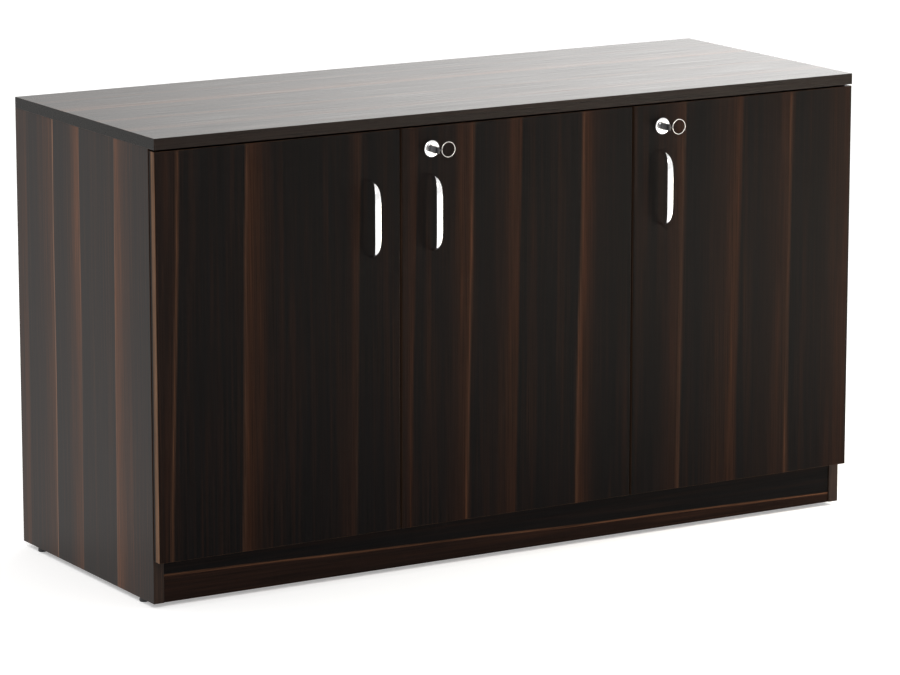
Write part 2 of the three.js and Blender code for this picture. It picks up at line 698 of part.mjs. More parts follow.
function boltRod() {
  const radius = BOLT_DIAMETER / 2;
  const knob = BOLT_KNOB_DIAMETER / 2;
  const stop = doorTop - BOLT_GUIDE_DROP - BOLT_GUIDE_LENGTH - BOLT_TRAVEL - SEAT;
  return turnedAlongZ([
    [0, stop - BOLT_KNOB_HEIGHT],
    [knob - BOLT_CHAMFER, stop - BOLT_KNOB_HEIGHT],
    [knob, stop - BOLT_KNOB_HEIGHT + BOLT_CHAMFER],
    [knob, stop - BOLT_CHAMFER],
    [knob - BOLT_CHAMFER, stop],
    [radius, stop],
    [radius, boltTop - BOLT_CHAMFER],
    [radius - BOLT_CHAMFER, boltTop],
    [0, boltTop],
  ]);
}

// One door with what it carries; hingeHand is -1 where it hangs on its left edge and 1 on its right
function addDoor(root, door) {
  const group = groupAt(root, door.pinX, 0, 0);
  const x = [door.left - door.pinX, door.left + doorWidth - door.pinX];
  const section = roundedRectangle(x, [0, DOOR_THICKNESS], DOOR_FRONT_ROUND, DOOR_BACK_ROUND);
  const inward = -door.hingeHand;
  const cupX = inward * (CUP_EDGE + CUP_BORE / 2 - PIN_EDGE);
  const cupFloor = DOOR_THICKNESS - CUP_DEPTH - CUP_SHEET - SEAT;
  const cupProfile = cylinderProfile(CUP_BORE / 2, cupFloor, DOOR_THICKNESS + OVERCUT);
  const bores = Object.values(hingeHeights).map((z) => turnedAlongY(cupProfile).translate(cupX, 0, z));
  if (door.locked) {
    const lockX = door.freeX + door.hingeHand * LOCK_EDGE - door.pinX;
    const lockBoreY = [-OVERCUT, DOOR_THICKNESS + OVERCUT];
    const lockBore = cylinderProfile(BARREL_DIAMETER / 2 + BORE_GAP, ...lockBoreY);
    bores.push(turnedAlongY(lockBore).translate(lockX, 0, lockZ));
    addLock(group, root, door);
  }
  add(group, door.name, cut(extruded(section, [doorBottom, doorTop]), ...bores), "laminate");
  const handleX = door.freeX + door.hingeHand * HANDLE_EDGE - door.pinX;
  add(groupAt(group, handleX, 0, doorTop - HANDLE_DROP), `${door.name}_handle`, bowHandle(), "chrome");
  for (const [end, z] of Object.entries(hingeHeights)) {
    const cup = hingeCup().scale(inward, 1, 1);
    add(groupAt(group, 0, pinY, z), `${door.name}_${end}_hinge_cup`, cup, "steel");
  }
  if (!door.locked) {
    const place = groupAt(group, boltX - door.pinX, boltY, 0);
    add(place, "tower_bolt_guide", boltGuide(), "steel");
    add(place, "tower_bolt_rod", boltRod(), "steel");
  }
}

function doorAt(index, name, hingeHand, panelFace, locked) {
  const left = -halfWidth + index * (doorWidth + DOOR_GAP);
  const right = left + doorWidth;
  const hingeX = hingeHand < 0 ? left : right;
  const freeX = hingeHand < 0 ? right : left;
  return { name, left, freeX, pinX: hingeX - hingeHand * PIN_EDGE, hingeHand, panelFace, locked };
}

const doors = [
  doorAt(0, "left_door", -1, BOARD, false),
  doorAt(1, "middle_door", 1, (BOARD - DOOR_GAP) / 2, true),
  doorAt(2, "right_door", 1, BOARD, true),
];

// The origin is on the floor, below the middle of the whole depth, handles included
const credenza = new THREE.Group();
credenza.name = "credenza";
const body = groupAt(credenza, 0, (HANDLE_PROJECTION - DEPTH) / 2, 0);
addCarcass(body);
addFeet(body);
addShelf(body, "left", [-innerHalf, partitionX - BOARD / 2]);
addShelf(body, "right", [partitionX + BOARD / 2, innerHalf]);
for (const door of doors) {
  addHingeArms(body, door);
  addDoor(body, door);
}

export default credenza;
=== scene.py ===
# The looks of an office credenza: planked dark laminate, chromed handles and cam locks, studio light.
# Metres, +Z up, the front faces -Y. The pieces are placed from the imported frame.
import json
import math

import bmesh
import bpy
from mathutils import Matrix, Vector
from mathutils.geometry import tessellate_polygon


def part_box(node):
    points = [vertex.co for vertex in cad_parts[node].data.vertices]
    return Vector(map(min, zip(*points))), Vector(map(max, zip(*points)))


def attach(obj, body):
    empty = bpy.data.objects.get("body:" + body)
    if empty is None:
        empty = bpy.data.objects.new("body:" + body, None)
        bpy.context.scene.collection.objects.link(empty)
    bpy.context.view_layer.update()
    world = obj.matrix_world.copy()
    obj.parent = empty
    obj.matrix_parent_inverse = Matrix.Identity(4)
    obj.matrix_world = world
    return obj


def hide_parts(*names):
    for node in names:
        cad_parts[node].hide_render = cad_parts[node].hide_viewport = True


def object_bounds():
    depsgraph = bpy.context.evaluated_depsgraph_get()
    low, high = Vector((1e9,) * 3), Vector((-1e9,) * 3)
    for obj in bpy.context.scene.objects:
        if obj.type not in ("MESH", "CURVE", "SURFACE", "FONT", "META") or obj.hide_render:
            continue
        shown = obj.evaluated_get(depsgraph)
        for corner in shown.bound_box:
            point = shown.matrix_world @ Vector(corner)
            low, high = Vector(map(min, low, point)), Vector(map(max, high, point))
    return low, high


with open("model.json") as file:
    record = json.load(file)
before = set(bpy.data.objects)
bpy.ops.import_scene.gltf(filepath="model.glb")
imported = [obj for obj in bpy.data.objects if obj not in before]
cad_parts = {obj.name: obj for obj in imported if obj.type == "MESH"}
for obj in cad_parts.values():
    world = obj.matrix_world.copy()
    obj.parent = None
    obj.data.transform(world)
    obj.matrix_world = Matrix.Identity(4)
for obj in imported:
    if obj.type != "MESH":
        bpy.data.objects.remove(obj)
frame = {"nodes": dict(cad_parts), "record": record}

MM = 0.001
AXES = "XYZ"
DOORS = ("left_door", "middle_door", "right_door")
LOCKED_DOORS = ("middle_door", "right_door")
CAD_BOX = [list(corner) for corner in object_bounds()]
LOW, HIGH = (Vector(corner) for corner in CAD_BOX)

# Camera, worked out from the photograph's vanishing lines
CAMERA_PLACE = (-3.7814, -6.3207, 1.8738)
CAMERA_YAW = 30.954
CAMERA_PITCH = 11.861
CAMERA_FOCAL_PIXELS = 4518.1
IMAGE_WIDTH_PIXELS = 900
SENSOR_WIDTH_MM = 36.0

# Floor: its colour, and a glow for seen rays, near the object and far away, between two distances
FLOOR_SIZE = 80.0
FLOOR_COLOUR = (0.90, 0.90, 0.90)
FLOOR_GLOW = (0.34, 0.30)
FLOOR_GLOW_REACH = (0.8, 3.0)

# Sky: even, with a soft bright window behind the object; angles in degrees
SKY_STRENGTH = 0.76
SKY_COLOUR = (1.0, 0.988, 0.972, 1.0)
WINDOW_AZIMUTH = 59.0
WINDOW_ELEVATION = 13.0
WINDOW_INNER_ANGLE = 8.0
WINDOW_OUTER_ANGLE = 36.0
WINDOW_STRENGTH = 3.6

# Lamps: a key light by the camera, and a warm lamp over the floor in front of the right door
KEY_PLACE = (-2.6, -4.4, 4.2)
KEY_AIM = (0.0, 0.0, 0.3)
KEY_SIZE = 2.6
KEY_POWER = 150.0
POOL_PLACE = (2.4, -2.1, 1.9)
POOL_SIZE = 1.5
POOL_POWER = 250.0
POOL_SPREAD = 115.0
POOL_COLOUR = (1.0, 0.94, 0.80)

# Planks of the laminate: place of an edge, how brown it is, the side it fades to (-1 or 1), how far
FRONT_PLANKS = [
    (-0.627, 0.58, -1, 0.120),
    (-0.503, 1.00, 1, 0.060),
    (-0.301, 0.90, -1, 0.026),
    (-0.194, 0.88, -1, 0.045),
    (-0.091, 0.93, -1, 0.068),
    (0.001, 0.85, -1, 0.080),
    (0.118, 1.00, 1, 0.055),
    (0.319, 0.78, -1, 0.070),
    (0.435, 0.90, -1, 0.090),
    (0.537, 0.75, -1, 0.095),
    (0.655, 0.70, -1, 0.090),
]
SIDE_PLANKS = [
    (-0.088, 1.00, -1, 0.085),
    (0.032, 0.95, 1, 0.065),
    (0.128, 0.68, 1, 0.092),
    (0.223, 0.68, 1, 0.090),
]
TOP_PLANKS = [
    (-0.150, 0.85, 1, 0.090),
    (-0.030, 0.90, -1, 0.070),
    (0.075, 0.95, 1, 0.080),
    (0.185, 0.80, -1, 0.020),
]
# Skirting: brown below a slanting edge and dark above it; the dark upper band is partly grain and partly
# painted shade under the doors
SKIRTING_PLANK_AND_SHADE = [
    (0.039, 0.68, -1, 0.300),
]

# Thin light lines beside some plank edges: place and strength
FRONT_LINES = [
    (-0.627, 0.8), (-0.503, 0.35), (-0.302, 0.4), (-0.092, 0.4),
    (0.119, 0.4), (0.318, 0.3), (0.536, 0.45),
]
SIDE_LINES = [(-0.089, 0.35), (0.033, 0.25), (0.127, 1.0)]
TOP_LINES = [(-0.128, 0.4), (0.087, 0.4)]
# Skirting: a painted highlight along the top edge of its brown band
SKIRTING_HIGHLIGHT_LINE = [(0.038, 0.9)]

# Laminate colours: dark planks, brown strips, thin lines, broken edges that are worn and carry a painted
# highlight, edge bands
FRONT_COLOURS = ("080707", "2a170d", "5a3c2a", "7a5a40", "705440")
SIDE_COLOURS = ("181412", "54331f", "8a644c", "6a4c38", "2a1c14")
TOP_COLOURS = ("12100e", "523625", "6a4c3a", "5a3e2e", "130804")


# Node helpers

def srgb(code):
    """Linear colour of a six-digit sRGB code."""
    shares = [int(code[i:i + 2], 16) / 255 for i in (0, 2, 4)]
    linear = [s / 12.92 if s <= 0.04045 else ((s + 0.055) / 1.055) ** 2.4 for s in shares]
    return (*linear, 1.0)


def feed(tree, socket, value):
    """Links a socket to another one, or sets its constant."""
    if isinstance(value, bpy.types.NodeSocket):
        tree.links.new(value, socket)
    else:
        socket.default_value = value


def node(tree, kind, inputs=None, **settings):
    made = tree.nodes.new(kind)
    for key, value in settings.items():
        setattr(made, key, value)
    for key, value in (inputs or {}).items():
        feed(tree, made.inputs[key], value)
    return made


def calc(tree, operation, *values):
    made = node(tree, "ShaderNodeMath", operation=operation)
    for socket, value in zip(made.inputs, values):
        feed(tree, socket, value)
    return made.outputs["Value"]


def dot(tree, first, second):
    """Dot product of two directions."""
    made = node(tree, "ShaderNodeVectorMath", {0: first, 1: second}, operation="DOT_PRODUCT")
    return made.outputs["Value"]


def spread(tree, value, from_range, to_range, smooth=False):
    """Maps a value from one range to another, clamped at both ends."""
    made = node(tree, "ShaderNodeMapRange", {"Value": value})
    made.interpolation_type = "SMOOTHSTEP" if smooth else "LINEAR"
    made.inputs["From Min"].default_value, made.inputs["From Max"].default_value = from_range
    made.inputs["To Min"].default_value, made.inputs["To Max"].default_value = to_range
    return made.outputs["Result"]


def mixed(tree, share, first, second):
    made = node(tree, "ShaderNodeMix", data_type="RGBA", blend_type="MIX")
    feed(tree, made.inputs["Factor"], share)
    colours = [socket for socket in made.inputs if socket.type == "RGBA"]
    feed(tree, colours[0], first)
    feed(tree, colours[1], second)
    return next(socket for socket in made.outputs if socket.type == "RGBA")


def noise(tree, place, scale, detail, roughness=0.5):
    """Noise stretched by a scale per axis."""
    stretched = node(tree, "ShaderNodeMapping", {"Vector": place, "Scale": scale}).outputs["Vector"]
    inputs = {"Vector": stretched, "Scale": 1.0, "Detail": detail, "Roughness": roughness}
    return node(tree, "ShaderNodeTexNoise", inputs).outputs["Fac"]


def new_material(name):
    material = bpy.data.materials.new(name)
    material.use_nodes = True
    tree = material.node_tree
    tree.nodes.clear()
    shader = node(tree, "ShaderNodeBsdfPrincipled")
    output = node(tree, "ShaderNodeOutputMaterial", {"Surface": shader.outputs["BSDF"]})
    output.is_active_output = True
    return material, tree, shader


# Laminate planks and lines
RAMP_MARGIN = 0.02
PLANKS_PER_RAMP = 10
PLANK_STEP = 1.5 * MM
PLANK_POWER = 2.3
LINE_WIDTH = 2.5 * MM
WOBBLE = 0.016

# Laminate grain: scale across the grain, scale along it, detail, roughness of the noise
WANDER = (3.0, 1.4, 1.0, 0.5)
STREAKS = (60.0, 1.3, 3.0, 0.6)
THREADS = (190.0, 2.2, 3.0, 0.7)
FINE_GRAIN = (420.0, 5.0, 3.0, 0.65)
PORES = (900.0, 26.0, 2.0, 0.5)
RING_SCALE = 620.0
RING_WANDER = 46.0
RING_SHARE = 0.03

# What the grain does: a range of the noise, and the values it is mapped to
NOISE_RANGE = (0.3, 0.7)
STREAK_RANGE = (0.52, 0.80)
STREAKS_IN_PLANKS = ((0.25, 0.70), (0.60, 1.20))
THREADS_BETWEEN = ((0.50, 0.75), (0.0, 0.26))
LINE_BREAKS = (NOISE_RANGE, (0.5, 1.0))
BAND_STREAKS = (NOISE_RANGE, (0.6, 1.0))
GRAIN_SHADE = (NOISE_RANGE, (0.45, 1.55))
PORE_SHADE = ((0.30, 0.42), (0.65, 1.0))
# lighter broken edges: partly wear, partly a painted highlight along the edge
EDGE_WEAR_AND_HIGHLIGHT = (NOISE_RANGE, (0.05, 0.40))
ROUGHNESS_SWING = (-0.05, 0.07)
RELIEF_SHARE = 0.5
RELIEF_DEPTH = 0.3 * MM

# Broken edges, and edge bands: light on the front of the doors' outer edge; painted shade darkens the
# bands in the gaps between the doors and towards their rear
SOFT_EDGE = 1.4 * MM
SOFT_EDGE_SAMPLES = 6
SOFT_EDGE_LIMITS = (0.995, 0.80)
FACE_LIMITS = (0.5, 0.8)
# Painted shade on the door edge bands: how far from the outer end it reaches, the band's share left in
# the gaps, and the depth over which it darkens towards the rear
GAP_SHADE_REACH = 50 * MM
GAP_SHADE_BAND = 0.20
REAR_SHADE_FADE = (9 * MM, 15 * MM)
DOOR_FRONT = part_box("left_door")[0].y


def ramp_of(tree, place, stops):
    """A ramp through (place, value) stops, with nothing before and after them."""
    low, high = min(stops)[0] - RAMP_MARGIN, max(stops)[0] + RAMP_MARGIN
    ramp = node(tree, "ShaderNodeValToRGB", {"Fac": spread(tree, place, (low, high), (0.0, 1.0))})
    elements = ramp.color_ramp.elements
    elements[1].color = (0.0, 0.0, 0.0, 1.0)
    for position, value in sorted(stops):
        elements.new((position - low) / (high - low)).color = (value, value, value, 1.0)
    return ramp.outputs["Color"]


def plank_ramp(tree, place, planks):
    """Brownness across the planks: a brown strip at each edge ends there and fades to one side."""
    total = 0.0
    for start in range(0, len(planks), PLANKS_PER_RAMP):
        stops = []
        for edge, brown, side, fade in planks[start:start + PLANKS_PER_RAMP]:
            step = side * PLANK_STEP
            stops += [(edge - step, 0.0), (edge + step, brown), (edge + side * fade, 0.0)]
        total = calc(tree, "ADD", total, ramp_of(tree, place, stops))
    return total


def line_ramp(tree, place, lines):
    stops = []
    for position, strength in lines:
        stops += [(position - LINE_WIDTH, 0.0), (position, strength), (position + LINE_WIDTH, 0.0)]
    return ramp_of(tree, place, stops)


def grain_noise(tree, place, along, kind):
    """Noise that is fine on two axes and long on the grain's own axis."""
    fine, long, detail, roughness = kind
    scale = tuple(long if axis == along else fine for axis in AXES)
    return noise(tree, place, scale, detail, roughness)


def leaning_place(tree, axes, across, along, lean, wander):
    """Place across the planks, which lean by a slope that changes from end to end, and wobble."""
    a, b = AXES.index(across), AXES.index(along)
    slant = spread(tree, axes[across], (LOW[a], HIGH[a]), lean)
    height = calc(tree, "SUBTRACT", axes[along], (LOW[b] + HIGH[b]) / 2)
    upright = calc(tree, "SUBTRACT", axes[across], calc(tree, "MULTIPLY", slant, height))
    wobble = calc(tree, "MULTIPLY", calc(tree, "SUBTRACT", wander, 0.5), WOBBLE)
    return calc(tree, "ADD", upright, wobble)


def ring_pattern(tree, leaning, wander):
    """Fine year rings, from 0 to 1."""
    straight = calc(tree, "MULTIPLY", leaning, RING_SCALE)
    waved = calc(tree, "ADD", straight, calc(tree, "MULTIPLY", wander, RING_WANDER))
    return calc(tree, "MULTIPLY", calc(tree, "ADD", calc(tree, "SINE", waved), 1.0), 0.5)


def band_painted_shade(tree, axes, across, face_axis):
    """Share of the light band: 1 on the front of the doors' outer edge; painted shade brings it low in
    the gaps between them and to 0 at the rear.
    """
    outer_end = LOW[AXES.index(across)]
    inner = (outer_end + GAP_SHADE_REACH, outer_end + 2 * GAP_SHADE_REACH)
    gap_shade = spread(tree, axes[across], inner, (1.0, GAP_SHADE_BAND))
    rear_shade = (DOOR_FRONT + REAR_SHADE_FADE[0], DOOR_FRONT + REAR_SHADE_FADE[1])
    return calc(tree, "MULTIPLY", gap_shade, spread(tree, axes[face_axis], rear_shade, (1.0, 0.0), smooth=True))


def rounded_edges(tree):
    """Normal of softly broken edges, and how near a point is to such an edge."""
    bevel = node(tree, "ShaderNodeBevel", {"Radius": SOFT_EDGE}, samples=SOFT_EDGE_SAMPLES)
    soft = bevel.outputs["Normal"]
    alike = dot(tree, soft, node(tree, "ShaderNodeNewGeometry").outputs["Normal"])
    return soft, spread(tree, alike, SOFT_EDGE_LIMITS, (0.0, 1.0))


def laminate(name, across, along, planks, lines, colours, roughness, specular,
             lean=(0.0, 0.0), depth=0.12, streak=0.26, paint_gap_shade=False):
    """Printed wood laminate with planks across one axis and grain along another."""
    dark, brown, light, worn_highlight_colour, band = (srgb(code) for code in colours)
    material, tree, shader = new_material(name)
    coordinates = node(tree, "ShaderNodeTexCoord").outputs
    place = coordinates["Object"]
    axes = node(tree, "ShaderNodeSeparateXYZ", {"Vector": place}).outputs
    kinds = (WANDER, STREAKS, THREADS, FINE_GRAIN, PORES)
    wander, streaks, threads, fine, pores = (grain_noise(tree, place, along, kind) for kind in kinds)
    leaning = leaning_place(tree, axes, across, along, lean, wander)

    # Face: dark planks, brown strips and thin lines
    plank = calc(tree, "POWER", plank_ramp(tree, leaning, planks), PLANK_POWER)
    brownness = calc(tree, "MULTIPLY", plank, spread(tree, streaks, *STREAKS_IN_PLANKS))
    brownness = calc(tree, "ADD", brownness, spread(tree, streaks, STREAK_RANGE, (0.0, streak)))
    brownness = calc(tree, "ADD", brownness, spread(tree, threads, *THREADS_BETWEEN))
    rings = calc(tree, "MULTIPLY", ring_pattern(tree, leaning, wander), RING_SHARE)
    face = mixed(tree, calc(tree, "ADD", brownness, rings), dark, brown)
    thin = calc(tree, "MULTIPLY", line_ramp(tree, leaning, lines), spread(tree, fine, *LINE_BREAKS))
    face = mixed(tree, thin, face, light)

    # Edge bands
    facing = node(tree, "ShaderNodeSeparateXYZ", {"Vector": coordinates["Normal"]}).outputs
    face_axis = next(axis for axis in AXES if axis not in (across, along))
    on_edge = spread(tree, calc(tree, "ABSOLUTE", facing[face_axis]), FACE_LIMITS, (1.0, 0.0))
    sidelong = calc(tree, "ABSOLUTE", facing[across])
    band_share = calc(tree, "MULTIPLY", sidelong, spread(tree, streaks, *BAND_STREAKS))
    # painted shade: the edge band is darkened in the gaps between the doors and towards their rear
    if paint_gap_shade:
        band_share = calc(tree, "MULTIPLY", band_share, band_painted_shade(tree, axes, across, face_axis))
    colour = mixed(tree, on_edge, face, mixed(tree, band_share, dark, band))

    # Fine grain, pores, and worn edges that also carry a painted highlight
    shade = calc(tree, "MULTIPLY", spread(tree, fine, *GRAIN_SHADE), spread(tree, pores, *PORE_SHADE))
    shaded = node(tree, "ShaderNodeVectorMath", {0: colour, "Scale": shade}, operation="SCALE")
    soft, edge = rounded_edges(tree)
    worn_and_highlight = calc(tree, "MULTIPLY", edge, spread(tree, streaks, *EDGE_WEAR_AND_HIGHLIGHT))
    feed(tree, shader.inputs["Base Color"], mixed(tree, worn_and_highlight, shaded.outputs["Vector"], worn_highlight_colour))
    dullness = tuple(roughness + swing for swing in ROUGHNESS_SWING)
    feed(tree, shader.inputs["Roughness"], spread(tree, fine, NOISE_RANGE, dullness))
    shader.inputs["Specular IOR Level"].default_value = specular
    fine_relief = calc(tree, "MULTIPLY", fine, RELIEF_SHARE)
    relief = calc(tree, "ADD", fine_relief, calc(tree, "MULTIPLY", pores, RELIEF_SHARE))
    inputs = {"Height": relief, "Normal": soft, "Strength": depth, "Distance": RELIEF_DEPTH}
    feed(tree, shader.inputs["Normal"], node(tree, "ShaderNodeBump", inputs).outputs["Normal"])
    return material


# Metal and plastic: scales of the noises, what they do to colour and roughness, depth of the bumps
CLOUD_RANGE = (0.35, 0.65)
METAL_CLOUD = (140.0, 140.0, 140.0)
METAL_DULL = 0.9
METAL_BUMP = 0.05 * MM
PLASTIC_GRAIN = (2400.0, 2400.0, 2400.0)
PLASTIC_CLOUD = (180.0, 180.0, 180.0)
PLASTIC_COLOURS = ("17171a", "242427")
PLASTIC_ROUGHNESS = (0.42, 0.58)
PLASTIC_BUMP = 0.1 * MM
PLASTIC_BUMP_STRENGTH = 0.25


def metal(name, colour, roughness, variation, grain_scale, bump_strength):
    """Plated or bare metal with faint clouds and a fine brushed grain."""
    material, tree, shader = new_material(name)
    place = node(tree, "ShaderNodeTexCoord").outputs["Object"]
    cloud = noise(tree, place, METAL_CLOUD, 3.0)
    grain = noise(tree, place, grain_scale, 2.0, 0.6)
    bright, dull = (*colour, 1.0), (*(METAL_DULL * share for share in colour), 1.0)
    tint = mixed(tree, spread(tree, cloud, CLOUD_RANGE, (0.0, 1.0)), bright, dull)
    feed(tree, shader.inputs["Base Color"], tint)
    limits = (roughness - variation, roughness + variation)
    feed(tree, shader.inputs["Roughness"], spread(tree, grain, NOISE_RANGE, limits))
    shader.inputs["Metallic"].default_value = 1.0
    inputs = {"Height": grain, "Strength": bump_strength, "Distance": METAL_BUMP}
    feed(tree, shader.inputs["Normal"], node(tree, "ShaderNodeBump", inputs).outputs["Normal"])
    return material


def black_plastic(name):
    """Moulded plastic with faint clouds and a fine matt grain."""
    material, tree, shader = new_material(name)
    place = node(tree, "ShaderNodeTexCoord").outputs["Object"]
    grain = noise(tree, place, PLASTIC_GRAIN, 2.0)
    cloud = noise(tree, place, PLASTIC_CLOUD, 2.0)
    darker, paler = (srgb(code) for code in PLASTIC_COLOURS)
    tint = mixed(tree, spread(tree, cloud, CLOUD_RANGE, (0.0, 1.0)), darker, paler)
    feed(tree, shader.inputs["Base Color"], tint)
    feed(tree, shader.inputs["Roughness"], spread(tree, grain, NOISE_RANGE, PLASTIC_ROUGHNESS))
    inputs = {"Height": grain, "Strength": PLASTIC_BUMP_STRENGTH, "Distance": PLASTIC_BUMP}
    feed(tree, shader.inputs["Normal"], node(tree, "ShaderNodeBump", inputs).outputs["Normal"])
    return material


# One finish per material slot, and a duller steel for the wire of the key rings
FINISHES = {
    # the doors' edge bands get painted shade in the gaps between the doors and towards their rear
    "laminate_door": laminate(
        "laminate_door", "X", "Z", FRONT_PLANKS, FRONT_LINES, FRONT_COLOURS,
        roughness=0.40, specular=0.034, lean=(0.024, 0.004), streak=0.42, paint_gap_shade=True),
    "laminate_upright": laminate(
        "laminate_upright", "Y", "Z", SIDE_PLANKS, SIDE_LINES, SIDE_COLOURS,
        roughness=0.36, specular=0.102, lean=(-0.006, -0.012)),
    "laminate_top": laminate(
        "laminate_top", "Y", "X", TOP_PLANKS, TOP_LINES, TOP_COLOURS,
        roughness=0.27, specular=0.082, depth=0.05),
    "laminate_flat": laminate(
        "laminate_flat", "Y", "X", TOP_PLANKS, TOP_LINES, SIDE_COLOURS,
        roughness=0.40, specular=0.15),
    # the skirting's dark upper band is partly grain and partly painted shade under the doors
    "laminate_skirting": laminate(
        "laminate_skirting", "Z", "X", SKIRTING_PLANK_AND_SHADE, SKIRTING_HIGHLIGHT_LINE, FRONT_COLOURS,
        roughness=0.42, specular=0.036, lean=(-0.020, -0.020)),
    "chrome": metal(
        "chrome", (0.96, 0.96, 0.97),
        roughness=0.10, variation=0.04, grain_scale=(900.0, 900.0, 60.0), bump_strength=0.05),
    "hinge_steel": metal(
        "hinge_steel", (0.66, 0.64, 0.61),
        roughness=0.26, variation=0.05, grain_scale=(700.0, 160.0, 700.0), bump_strength=0.03),
    "black_plastic": black_plastic("black_plastic"),
}
KEY_STEEL = metal(
    "key_steel", (0.42, 0.41, 0.40),
    roughness=0.24, variation=0.06, grain_scale=(900.0, 900.0, 900.0), bump_strength=0.08)


# Frame: finishes, smooth shading of the round hardware, broken edges of keys and strikes
WELD_DISTANCE = 0.002 * MM
SHARP_ANGLE = 35.0
BEVEL_ANGLE = 40.0
BEVEL_SEGMENTS = 2
BROKEN_EDGE = 0.35 * MM
BOXY = [f"{door}_lock_{part}" for door in LOCKED_DOORS for part in ("key", "strike")]


def smooth_by_angle():
    """Geometry nodes that weld a facetted solid and shade it smooth below a sharp angle."""
    tree = bpy.data.node_groups.new("smooth_by_angle", "GeometryNodeTree")
    tree.interface.new_socket("Geometry", in_out="INPUT", socket_type="NodeSocketGeometry")
    tree.interface.new_socket("Geometry", in_out="OUTPUT", socket_type="NodeSocketGeometry")

    def step(kind, geometry, inputs, **settings):
        return node(tree, kind, {"Geometry": geometry, **inputs}, **settings).outputs["Geometry"]

    angle = node(tree, "GeometryNodeInputMeshEdgeAngle").outputs["Unsigned Angle"]
    blunt = calc(tree, "LESS_THAN", angle, math.radians(SHARP_ANGLE))
    solid = node(tree, "NodeGroupInput").outputs["Geometry"]
    solid = step("GeometryNodeRemoveAttribute", solid, {"Name": "custom_normal"})
    solid = step("GeometryNodeMergeByDistance", solid, {"Distance": WELD_DISTANCE})
    solid = step("GeometryNodeSetShadeSmooth", solid, {"Shade Smooth": True}, domain="FACE")
    solid = step("GeometryNodeSetShadeSmooth", solid, {"Shade Smooth": blunt}, domain="EDGE")
    node(tree, "NodeGroupOutput", {"Geometry": solid})
    return tree


SMOOTH = smooth_by_angle()


def add_bevel(piece):
    """Breaks the sharp edges of a welded solid."""
    piece.modifiers.new("weld", "WELD").merge_threshold = WELD_DISTANCE
    bevel = piece.modifiers.new("bevel", "BEVEL")
    bevel.width = BROKEN_EDGE
    bevel.segments = BEVEL_SEGMENTS
    bevel.limit_method = "ANGLE"
    bevel.angle_limit = math.radians(BEVEL_ANGLE)


def dress_frame():
    """Gives every CAD node the finish of its slot."""
    slots = {part["node"]: part["material_slot"] for part in frame["record"]["subparts"]}
    for name, piece in frame["nodes"].items():
        piece.data.materials.clear()
        piece.data.materials.append(FINISHES[slots[name]])
        if name in BOXY:
            add_bevel(piece)
        if not slots[name].startswith("laminate"):
            piece.modifiers.new("smooth", "NODES").node_group = SMOOTH


# Mesh makers: a part is a list of points in metres and a list of faces

def lathe(profile, sides):
    """Turns a profile of (radius, height) about Z; a radius of 0 closes it."""
    points, faces, rows = [], [], []
    for radius, height in profile:
        count = sides if radius > 0 else 1
        rows.append(range(len(points), len(points) + count))
        for i in range(count):
            angle = 2 * math.pi * i / sides
            points.append(Vector((radius * math.cos(angle), radius * math.sin(angle), height)))
    for first, second in zip(rows, rows[1:]):
        for i in range(sides):
            corners = [first[i % len(first)], first[(i + 1) % len(first)]]
            corners += [second[(i + 1) % len(second)], second[i % len(second)]]
            faces.append(list(dict.fromkeys(corners)))
    return points, [face for face in faces if len(face) > 2]


def loft(rings):
    """Skins rings of equal length and caps both ends."""
    count = len(rings[0])
    points = [point for ring in rings for point in ring]
    faces = [list(range(count)), list(range(len(points) - count, len(points)))]
    for row in range(len(rings) - 1):
        for i in range(count):
            j = (i + 1) % count
            faces.append([row * count + i, row * count + j, (row + 1) * count + j, (row + 1) * count + i])
    return points, faces


def rounded_section(wide, deep, sides, roundness):
    """Points of a rounded outline, as (wide, deep) pairs."""
    pairs = []
    for i in range(sides):
        angle = 2 * math.pi * i / sides
        across = math.copysign(abs(math.cos(angle)) ** (2 / roundness), math.cos(angle))
        along = math.copysign(abs(math.sin(angle)) ** (2 / roundness), math.sin(angle))
        pairs.append((wide / 2 * across, deep / 2 * along))
    return pairs


def joined(*parts):
    points, faces = [], []
    for part_points, part_faces in parts:
        start = len(points)
        points += part_points
        faces += [[start + i for i in face] for face in part_faces]
    return points, faces


def placed(part, place, outward):
    """Turns a part's own Z towards a direction and moves it to a place."""
    turn = Vector(outward).to_track_quat("Z", "Y")
    return [turn @ point + Vector(place) for point in part[0]], part[1]


def make_piece(name, part, body, slot, replaced=(), finish=None):
    """A mesh with outward faces, welded and smoothed, which rides on a body."""
    mesh = bpy.data.meshes.new(name)
    mesh.from_pydata([tuple(point) for point in part[0]], [], part[1])
    shape = bmesh.new()
    shape.from_mesh(mesh)
    bmesh.ops.recalc_face_normals(shape, faces=shape.faces)
    shape.to_mesh(mesh)
    shape.free()
    mesh.materials.append(finish or FINISHES[slot])
    piece = bpy.data.objects.new(name, mesh)
    bpy.context.scene.collection.objects.link(piece)
    piece.modifiers.new("smooth", "NODES").node_group = SMOOTH
    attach(piece, body)
    if replaced:
        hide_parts(*replaced)


def corners_of(name):
    low, high = (Vector(corner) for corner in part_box(name))
    return low, high, (low + high) / 2


# Bow handles: straps that are slim at their feet, bent to an arch with a flat middle
HANDLE_STEPS = 96
HANDLE_SIDES = 28
HANDLE_THICKNESS = 4.4 * MM
HANDLE_END_WIDTH = 3.6 * MM
HANDLE_END_THICKNESS = 3.0 * MM
HANDLE_ROUNDNESS = 2.0
HANDLE_TAPER = 0.60
HANDLE_SLIMNESS = 0.93
HANDLE_SQUARENESS = 6


